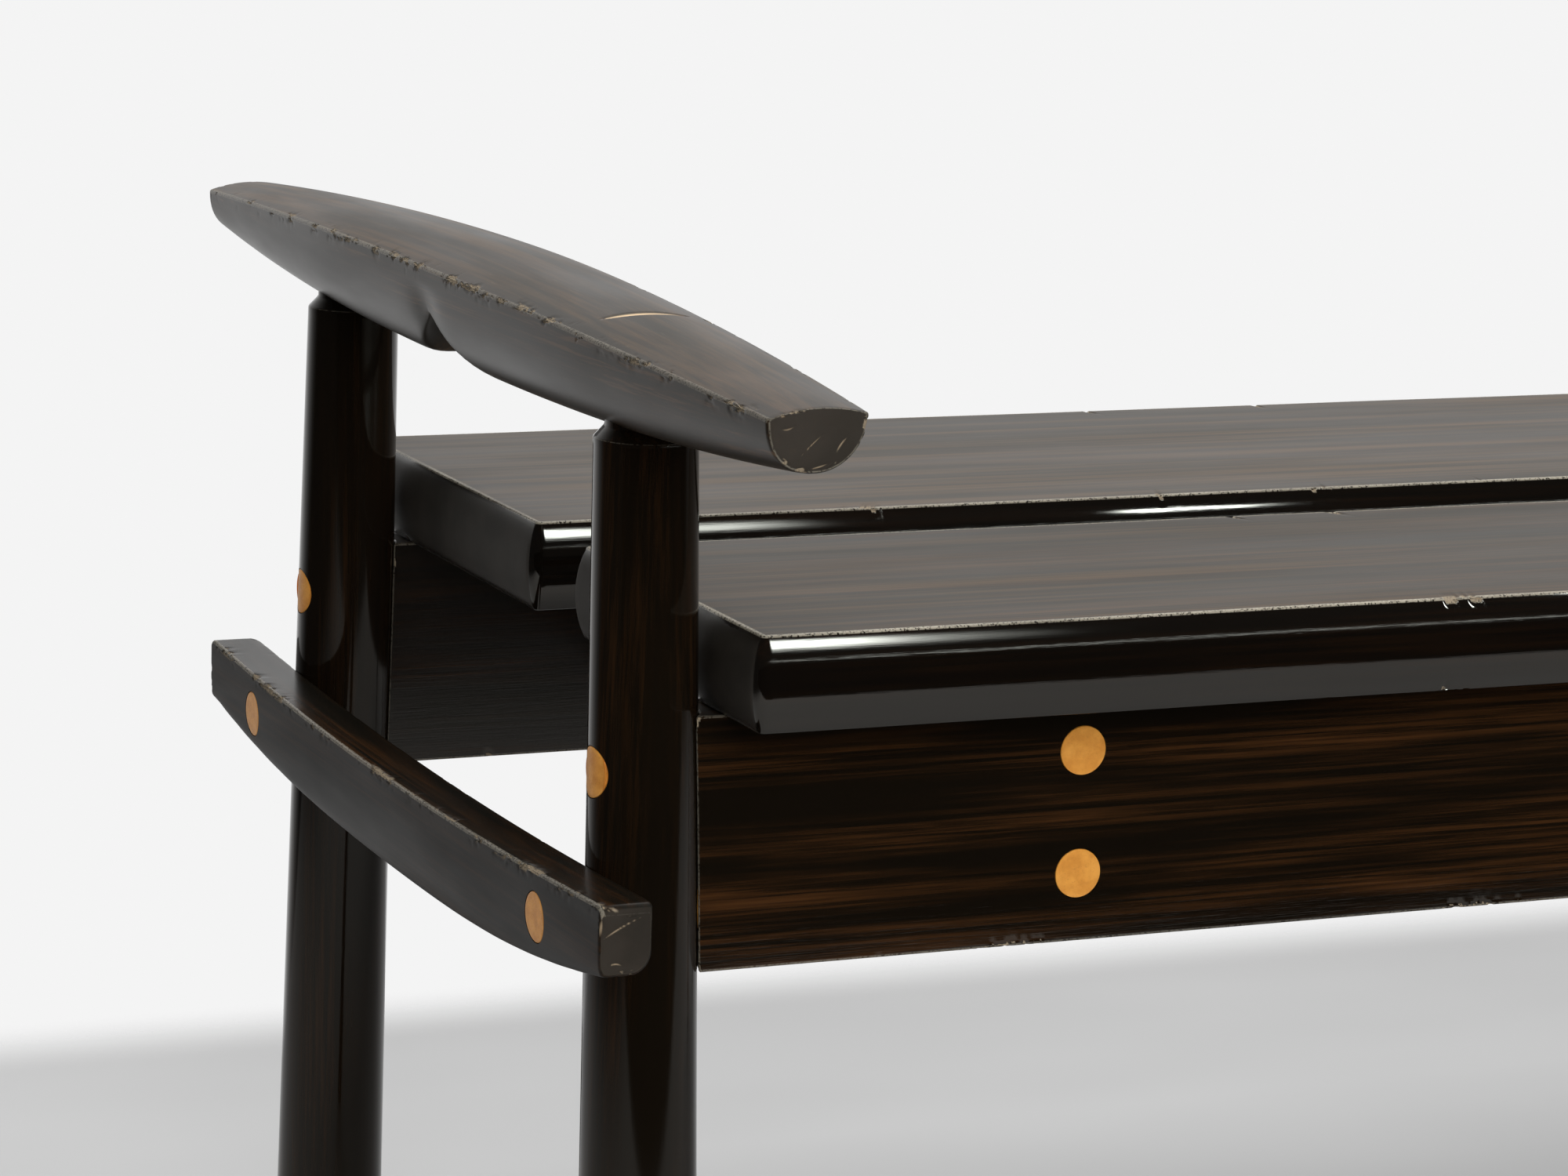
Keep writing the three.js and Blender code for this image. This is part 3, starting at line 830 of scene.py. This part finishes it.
BLACK_WOOD = tint(0.0040, 0.0030, 0.0022)
BROWN_STREAK = tint(0.068, 0.027, 0.0085)
# Colours of the dull haze: worn lacquer, and on upward faces partly painted sheen
DARK_BLOOM_AND_SHEEN = tint(0.025, 0.019, 0.012)
BROWN_BLOOM_AND_SHEEN = tint(0.105, 0.061, 0.028)
END_GRAIN = tint(0.036, 0.030, 0.024)
RUBBED_WOOD = tint(0.19, 0.15, 0.10)
BARE_WOOD = tint(0.30, 0.24, 0.165)
FRESH_WOOD = tint(0.74, 0.56, 0.36)
# Pale arris line: partly worn wood, partly a painted highlight of the rounded arris
ARRIS_WEAR_AND_HIGHLIGHT = tint(0.42, 0.38, 0.30)
WARM_BLACK = tint(0.0058, 0.0040, 0.0024)
OLIVE_BLACK = tint(0.0060, 0.0055, 0.0042)
HONEY_WOOD = tint(0.66, 0.255, 0.028)
PALE_HONEY_WOOD = tint(0.82, 0.36, 0.055)
HONEY_PORE = tint(0.42, 0.15, 0.02)
SPECULAR_CAST = tint(1.0, 0.965, 0.89)


def dark_wood(name, axis, shift, band, side, top, specular, chips, rim_wear_and_highlight, cast=BLACK_WOOD):
    """Near-black lacquered hardwood with brown streaks along its grain.

    band is how many brown bands a metre holds across the grain. side and top each hold how
    strongly the brown shows, how dulled the face is, a worn haze that on upward faces is partly painted
    sheen, and the lowest and highest roughness.
    chips is how much bare wood shows along the arrises, rim how pale their line is, partly worn
    wood and partly a painted highlight of the rounded arris, and cast is the colour between streaks.
    """
    shader = Shader(name)
    shader.surface.inputs["Specular IOR Level"].default_value = specular
    shader.surface.inputs["Specular Tint"].default_value = SPECULAR_CAST
    bands = shader.noise(shader.stretched(along(axis, 3, band), shift), detail=4.0, distortion=0.3)
    lines = shader.noise(shader.stretched(along(axis, 7, 440), shift), detail=5.0, roughness=0.65)
    flecks = shader.noise(shader.stretched(along(axis, 60, 1500), shift), detail=2.0)
    broad = shader.noise(shader.stretched(along(axis, 2.4, 150), shift), detail=5.0, roughness=0.66)
    cloud = shader.noise(shader.stretched(along(axis, 5, 24), shift), detail=4.0)
    up = shader.step(shader.facing(2), 0.55, 0.95)
    streak = shader.math("MULTIPLY", shader.step(bands, 0.36, 0.66), shader.step(lines, 0.36, 0.74))

    brown = shader.math("MULTIPLY", streak, shader.between(up, side[0], top[0]))
    colour = shader.mix(brown, cast, BROWN_STREAK)
    # The dull haze is partly worn lacquer and partly painted sheen: upward faces get more of it, standing
    # for the sheen of light at a grazing angle
    dullness_and_sheen = shader.between(up, side[1], top[1])
    dull_and_sheen = shader.math("MULTIPLY", shader.step(cloud, 0.3, 0.7, 0.6, 1.0), dullness_and_sheen)
    tawny = shader.step(shader.between(up, streak, broad), 0.42, 0.72)
    colour = shader.mix(dull_and_sheen, colour, shader.mix(tawny, DARK_BLOOM_AND_SHEEN, BROWN_BLOOM_AND_SHEEN))
    faint = shader.math("MULTIPLY", dull_and_sheen, 0.4)
    rubbed = shader.math("MULTIPLY", shader.step(flecks, 0.66, 0.8), faint)
    colour = shader.mix(rubbed, colour, RUBBED_WOOD)
    ends = shader.step(shader.math("ABSOLUTE", shader.facing(axis)), 0.86, 0.97)
    mottled = shader.math("MULTIPLY", ends, shader.step(bands, 0.3, 0.7, 0.6, 1.0))
    colour = shader.mix(mottled, colour, END_GRAIN)

    ragged = shader.noise(shader.stretched((1100, 1100, 1100), shift), detail=3.0)
    arris = shader.attribute("arris")
    patchy = shader.step(cloud, 0.3, 0.6, 0.35, 1.0)
    # Pale line along the arrises: partly worn wood, partly a painted highlight where the rounded arris
    # catches the light
    line = shader.math("MULTIPLY", shader.step(arris, 0.8, 0.97), patchy)
    worn_and_highlit_line = shader.math("MULTIPLY", line, shader.step(ragged, 0.36, 0.52))
    chip = shader.step(shader.attribute("chip"), 0.25, 0.6)
    knocked = shader.math("MULTIPLY", chip, chips)
    broken = shader.math("MULTIPLY", knocked, shader.step(ragged, 0.3, 0.5))
    colour = shader.mix(shader.math("MULTIPLY", worn_and_highlit_line, rim_wear_and_highlight), colour, ARRIS_WEAR_AND_HIGHLIGHT)
    colour = shader.mix(broken, colour, BARE_WOOD)
    scratch = shader.step(shader.attribute("scratch"), 0.12, 0.35)
    colour = shader.mix(scratch, colour, FRESH_WOOD)
    shader.feed(shader.surface.inputs["Base Color"], colour)

    side_shine = shader.step(cloud, 0.25, 0.75, side[2], side[3])
    top_shine = shader.step(cloud, 0.25, 0.75, top[2], top[3])
    shine = shader.between(up, side_shine, top_shine)
    worn = shader.math("MAXIMUM", broken, shader.math("MULTIPLY", ends, 0.8))
    shader.feed(shader.surface.inputs["Roughness"], shader.between(worn, shine, 0.85))

    pores = shader.bump(lines, 0.00006, 0.25)
    grain = shader.bump(flecks, 0.00003, 0.3, pores)
    scuffs = shader.bump(shader.math("MULTIPLY", broken, ragged), 0.0006, 0.6, grain)
    shader.feed(shader.surface.inputs["Normal"], scuffs)
    return shader.material


def dowel_wood():
    """Honey-coloured end grain with darker pores."""
    shader = Shader("dowel_wood_look")
    cloud = shader.noise(shader.stretched((160, 160, 160)), detail=4.0)
    pores = shader.noise(shader.stretched((1500, 1500, 1500)), detail=2.0)
    colour = shader.mix(shader.step(cloud, 0.3, 0.7), HONEY_WOOD, PALE_HONEY_WOOD)
    colour = shader.mix(shader.step(pores, 0.6, 0.75, 0, 0.45), colour, HONEY_PORE)
    shader.feed(shader.surface.inputs["Base Color"], colour)
    shader.feed(shader.surface.inputs["Roughness"], shader.step(pores, 0.3, 0.7, 0.42, 0.6))
    shader.feed(shader.surface.inputs["Normal"], shader.bump(pores, 0.00015, 0.4))
    return shader.material


# The bench

# The long scratch lies on top of the left bar; the marks lie on its front end, across and up
BAR_SCRATCH = {
    "axis": 2, "way": 1, "start": (-566, -170.5), "end": (-533.5, -175),
    "bow": -1.2, "width": 1.7, "depth": 2.6,
}
END_MARK = {"axis": 1, "way": -1, "reach": 3, "depth": 0.35, "bare": 0.23}
BAR_END_MARKS = (
    {"start": (-557.2, 515.4), "end": (-547.4, 524.6), "bow": 0.3, "width": 0.4},
    {"start": (-564.6, 526.6), "end": (-558.6, 527.6), "bow": -0.9, "width": 0.5},
    {"start": (-543.2, 516.4), "end": (-537.9, 523.5), "bow": 0.6, "width": 0.6},
    {"start": (-553.3, 512.0), "end": (-545.0, 514.0), "bow": -0.4, "width": 0.5},
)
STRETCHER_END_MARKS = (
    {"start": (-593.5, 320.6), "end": (-573.5, 330.6), "bow": 0.8, "width": 0.7},
    {"start": (-593.0, 328.0), "end": (-582.4, 337.2), "bow": 1.6, "width": 0.7},
    {"start": (-592.6, 322.0), "end": (-591.8, 331.0), "bow": 0.0, "width": 1.0},
    {"start": (-590.0, 310.8), "end": (-582.6, 310.9), "bow": 1.5, "width": 0.6},
)

front_plank_wood = dark_wood(
    "front_plank_wood", 0, (0, 0, 0), band=50, side=(0.10, 0.0, 0.04, 0.07),
    top=(1.0, 0.62, 0.54, 0.66), specular=0.5, chips=1.0, rim_wear_and_highlight=0.9,
)
back_plank_wood = dark_wood(
    "back_plank_wood", 0, (2, 4, 1), band=50, side=(0.10, 0.0, 0.04, 0.07),
    top=(1.0, 0.95, 0.47, 0.58), specular=0.5, chips=1.0, rim_wear_and_highlight=0.9,
)
front_rail_wood = dark_wood(
    "rail_wood", 0, (3, 5, 2), band=62, side=(1.0, 0.02, 0.045, 0.08),
    top=(0.8, 0.3, 0.3, 0.4), specular=0.4, chips=1.6, rim_wear_and_highlight=0.3, cast=WARM_BLACK,
)
back_rail_wood = dark_wood(
    "back_rail_wood", 0, (6, 3, 8), band=50, side=(0.42, 0.05, 0.10, 0.18),
    top=(0.8, 0.3, 0.3, 0.4), specular=0.4, chips=0.8, rim_wear_and_highlight=0.3,
)
post_wood = dark_wood(
    "post_wood", 2, (1, 2, 7), band=30, side=(0.32, 0.02, 0.06, 0.12),
    top=(0.5, 0.2, 0.2, 0.3), specular=0.22, chips=0.4, rim_wear_and_highlight=0.2, cast=WARM_BLACK,
)
bar_wood = dark_wood(
    "bar_wood", 1, (4, 1, 9), band=40, side=(0.9, 0.50, 0.30, 0.42),
    top=(0.9, 0.75, 0.36, 0.50), specular=0.28, chips=0.9, rim_wear_and_highlight=0.35,
)
stretcher_wood = dark_wood(
    "stretcher_wood", 1, (8, 6, 3), band=40, side=(0.35, 0.04, 0.46, 0.60),
    top=(0.8, 0.1, 0.2, 0.3), specular=0.14, chips=0.95, rim_wear_and_highlight=0.5, cast=OLIVE_BLACK,
)
bearer_wood = dark_wood(
    "bearer_wood", 1, (2, 9, 4), band=50, side=(0.6, 0.1, 0.3, 0.45),
    top=(0.6, 0.1, 0.3, 0.45), specular=0.5, chips=0.5, rim_wear_and_highlight=0.2,
)
peg_wood = dowel_wood()

seat_plank("front_plank", "seat_plank_front", 1.3, front_plank_wood, spots=((-217, 11), (-150, 4)))
seat_plank("back_plank", "seat_plank_back", 4.6, back_plank_wood)

for end, x_side in ENDS.items():
    bar_marks, stretcher_marks = (), ()
    if end == "left":
        bar_marks = [BAR_SCRATCH, *(END_MARK | mark for mark in BAR_END_MARKS)]
        stretcher_marks = [END_MARK | mark for mark in STRETCHER_END_MARKS]
    crosspiece = f"end_stretcher_{end}"
    head_bar(f"{end}_bar", f"head_bar_{end}", x_side, 2.0 + x_side, bar_wood, bar_marks)
    cross = stretcher(f"{end}_stretcher", crosspiece, x_side, 6.0 + x_side, stretcher_marks)
    for side, y_side in SIDES.items():
        node = f"post_{end}_{side}"
        upright = post(f"{end}_{side}_post", node, x_side, y_side, 3 * x_side + y_side)
        upper, lower = (f"post_dowel_{end}_{side}_{level}" for level in ("upper", "lower"))
        show_dowel(f"{end}_{side}_upper_peg", upper, 0, x_side, upright, peg_wood)
        show_dowel(f"{end}_{side}_lower_peg", lower, 0, x_side, cross, peg_wood)
        drill(upright, [hole_cutter(upper, 0, x_side), hole_cutter(lower, 0, x_side)])
        dress(upright, post_wood, "dark_wood", node)
    drill(cross, [hole_cutter(f"post_dowel_{end}_{side}_lower", 0, x_side) for side in SIDES])
    dress(cross, stretcher_wood, "dark_wood", crosspiece)

for side, y_side in SIDES.items():
    spots = ((-400, 24), (-180, 22)) if side == "front" else ()
    beam = rail(f"{side}_rail", f"long_rail_{side}", y_side, 5 + y_side, spots)
    pegs = [
        f"bearer_dowel_{place}_{side}_{level}" for place in PLACES for level in ("upper", "lower")
    ]
    for node in pegs:
        show_dowel(node.replace("bearer_dowel", "rail_peg"), node, 1, y_side, beam, peg_wood)
    drill(beam, [hole_cutter(node, 1, y_side) for node in pegs])
    look = front_rail_wood if side == "front" else back_rail_wood
    dress(beam, look, "dark_wood", f"long_rail_{side}")

for place in PLACES:
    bearer(f"{place}_bearer", f"bearer_{place}", bearer_wood)
    for side in SIDES:
        for number in (1, 2):
            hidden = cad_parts[f"seat_dowel_{place}_{side}_{number}"]
            hidden.data.materials.clear()
            hidden.data.materials.append(peg_wood)


# Floor, light and camera

BACKDROP_LIGHT = 0.905
ROOM_LIGHT = 0.035
FLOOR_CORNERS = [(-2.6, -1.6, 0), (2.6, -1.6, 0), (2.6, 1.2, 0), (-2.6, 1.2, 0)]
# Reach of the floor's grey, a painted shade, and of its soft fade into the white beyond
FLOOR_HALF_LENGTH = 1.2
FLOOR_SIDE_FADE = 0.9
FLOOR_BACK = 0.67
FLOOR_BACK_FADE = 0.10
FLOOR_FRONT = -1.13
FLOOR_FRONT_FADE = 0.04
FLAG_HALF_LENGTH = 3
FLAG_BOTTOM = 0.001
FLAG_TOP = 0.58
CAMERA_PLACE = (-1.2123, -1.8235, 0.7865)
CAMERA_YAW = math.radians(23.671)
CAMERA_PITCH = math.radians(11.036)
CAMERA_ROLL = math.radians(1.857)
CAMERA_LENS = 108.446


def sheet(name, corners):
    """Flat four-cornered sheet."""
    mesh = bpy.data.meshes.new(name)
    mesh.from_pydata(corners, [], [(0, 1, 2, 3)])
    made = bpy.data.objects.new(name, mesh)
    bpy.context.scene.collection.objects.link(made)
    return made


def upright_sheet(name, left, right, y, bottom, top):
    return sheet(name, [(left, y, bottom), (right, y, bottom), (right, y, top), (left, y, top)])


def floor():
    """Pale grey floor under the bench that fades out towards its sides, back and front; its grey is
    painted shade against the white beyond.
    """
    ground = sheet("floor", FLOOR_CORNERS)
    shader = Shader("floor_painted_shade_look")
    split = shader.node("ShaderNodeSeparateXYZ")
    shader.feed(split.inputs["Vector"], shader.place)
    off_centre = shader.math("ABSOLUTE", split.outputs["X"])
    within = shader.step(off_centre, FLOOR_HALF_LENGTH, FLOOR_HALF_LENGTH + FLOOR_SIDE_FADE, 1.0, 0.0)
    short_of_back = shader.step(split.outputs["Y"], FLOOR_BACK, FLOOR_BACK + FLOOR_BACK_FADE, 1.0, 0.0)
    behind_front = shader.step(split.outputs["Y"], FLOOR_FRONT, FLOOR_FRONT + FLOOR_FRONT_FADE)
    mottle = shader.noise(shader.stretched((2.2, 4.5, 3)), detail=2.0)
    # The floor's grey near the bench is painted shade, with a random mottle
    shader.feed(
        shader.surface.inputs["Base Color"],
        shader.mix(mottle, tint(0.56, 0.56, 0.56), tint(0.68, 0.68, 0.68)),
    )
    shader.feed(shader.surface.inputs["Roughness"], shader.step(mottle, 0.3, 0.7, 0.75, 0.9))
    shader.surface.inputs["Specular IOR Level"].default_value = 0.1
    solid = shader.math("MULTIPLY", within, short_of_back)
    shader.feed(shader.surface.inputs["Alpha"], shader.math("MULTIPLY", solid, behind_front))
    ground.data.materials.append(shader.material)


def studio_world():
    """Bright paper behind the bench and a dim room in front, seen plain white by the camera."""
    world = bpy.data.worlds.new("studio")
    world.use_nodes = True
    bpy.context.scene.world = world
    nodes, links = world.node_tree.nodes, world.node_tree.links
    background = nodes["Background"]
    direction = nodes.new("ShaderNodeTexCoord").outputs["Generated"]
    behind = nodes.new("ShaderNodeVectorMath")
    behind.operation = "DOT_PRODUCT"
    behind.inputs[1].default_value = (math.sin(CAMERA_YAW), math.cos(CAMERA_YAW), 0)
    links.new(direction, behind.inputs[0])
    fade = nodes.new("ShaderNodeMapRange")
    fade.interpolation_type = "SMOOTHSTEP"
    fade.inputs["From Min"].default_value = 0.1
    fade.inputs["From Max"].default_value = 0.9
    fade.inputs["To Min"].default_value = ROOM_LIGHT
    fade.inputs["To Max"].default_value = 1.0
    links.new(behind.outputs["Value"], fade.inputs["Value"])
    seen = nodes.new("ShaderNodeLightPath").outputs["Is Camera Ray"]
    choice = nodes.new("ShaderNodeMix")
    choice.data_type = "FLOAT"
    links.new(seen, choice.inputs["Factor"])
    links.new(fade.outputs["Result"], choice.inputs["A"])
    choice.inputs["B"].default_value = BACKDROP_LIGHT
    links.new(choice.outputs["Result"], background.inputs["Strength"])
    background.inputs["Color"].default_value = (1, 1, 1, 1)


def softbox(name, place, target, width, height, power, shines):
    """Broad lamp; one that doesn't shine lights the wood without a reflection of its own."""
    lamp = bpy.data.lights.new(name, "AREA")
    lamp.shape = "RECTANGLE"
    lamp.size, lamp.size_y = width, height
    lamp.energy = power
    holder = bpy.data.objects.new(name, lamp)
    holder.location = place
    holder.rotation_mode = "QUATERNION"
    holder.rotation_quaternion = (Vector(target) - Vector(place)).to_track_quat("-Z", "Y")
    holder.visible_camera = False
    holder.visible_glossy = shines
    bpy.context.scene.collection.objects.link(holder)


def glow_card(name, centre, width, height, strength, softness):
    """Upright card in front of the bench, bright in its middle, which only reflections see."""
    x, y, z = centre
    across, up = width / 2, height / 2
    card = upright_sheet(name, x - across, x + across, y, z - up, z + up)
    shader = Shader(name + "_look")
    split = shader.node("ShaderNodeSeparateXYZ")
    shader.feed(split.inputs["Vector"], shader.place)
    left_right = shader.math("ABSOLUTE", shader.math("SUBTRACT", split.outputs["X"], x))
    up_down = shader.math("ABSOLUTE", shader.math("SUBTRACT", split.outputs["Z"], z))
    inside = shader.math(
        "MULTIPLY",
        shader.step(left_right, across * (1 - softness), across, 1.0, 0.0),
        shader.step(up_down, up * (1 - softness), up, 1.0, 0.0),
    )
    glow = shader.node("ShaderNodeEmission")
    glow.inputs["Color"].default_value = tint(0.93, 1.0, 0.99)
    shader.feed(glow.inputs["Strength"], shader.math("MULTIPLY", inside, strength))
    clear = shader.node("ShaderNodeBsdfTransparent")
    both = shader.node("ShaderNodeMixShader")
    shader.feed(both.inputs["Fac"], inside)
    shader.tree.links.new(clear.outputs["BSDF"], both.inputs[1])
    shader.tree.links.new(glow.outputs["Emission"], both.inputs[2])
    output = shader.tree.nodes["Material Output"]
    shader.tree.links.new(both.outputs["Shader"], output.inputs["Surface"])
    card.data.materials.append(shader.material)
    hide_but_from_reflections(card)


def hide_but_from_reflections(card):
    card.visible_camera = False
    card.visible_diffuse = False
    card.visible_shadow = False
    card.visible_transmission = False


def black_flag():
    """Black card low in front of the bench, which only reflections see."""
    card = upright_sheet(
        "flag", -FLAG_HALF_LENGTH, FLAG_HALF_LENGTH, FLOOR_FRONT, FLAG_BOTTOM, FLAG_TOP
    )
    shader = Shader("flag_look")
    weave = shader.noise(shader.stretched((400, 400, 400)))
    cloth = shader.mix(weave, tint(0.002, 0.002, 0.002), tint(0.004, 0.004, 0.004))
    shader.feed(shader.surface.inputs["Base Color"], cloth)
    shader.surface.inputs["Specular IOR Level"].default_value = 0.0
    card.data.materials.append(shader.material)
    hide_but_from_reflections(card)


def camera():
    forward = Vector((
        math.sin(CAMERA_YAW) * math.cos(CAMERA_PITCH),
        math.cos(CAMERA_YAW) * math.cos(CAMERA_PITCH),
        -math.sin(CAMERA_PITCH),
    ))
    level = Vector((math.cos(CAMERA_YAW), -math.sin(CAMERA_YAW), 0))
    upright = level.cross(forward)
    right = level * math.cos(CAMERA_ROLL) + upright * math.sin(CAMERA_ROLL)
    up = upright * math.cos(CAMERA_ROLL) - level * math.sin(CAMERA_ROLL)
    lens = bpy.data.cameras.new("camera")
    lens.lens = CAMERA_LENS
    lens.sensor_width = 36
    eye = bpy.data.objects.new("camera", lens)
    turned = Matrix((right, up, -forward)).transposed().to_4x4()
    eye.matrix_world = Matrix.Translation(CAMERA_PLACE) @ turned
    bpy.context.scene.collection.objects.link(eye)
    bpy.context.scene.camera = eye


floor()
studio_world()
softbox(
    "overhead", place=(0, 0.2, 3.0), target=(0, 0, 0), width=3.2, height=2.4, power=75, shines=True,
)
softbox(
    "front_fill", place=(-0.6, -2.6, 1.5), target=(-0.3, 0, 0.4),
    width=2.4, height=1.8, power=60, shines=False,
)
glow_card("left_window", (0.24, -1.9, 1.40), width=0.66, height=0.78, strength=55, softness=0.9)
glow_card(
    "right_window", (0.054, -0.45, 0.613), width=0.125, height=0.055, strength=90, softness=0.8,
)
glow_card("light_strip", (0.7, -1.6, 0.735), width=3.4, height=0.04, strength=6, softness=0.7)
black_flag()
camera()
bpy.context.scene.view_settings.view_transform = "Standard"
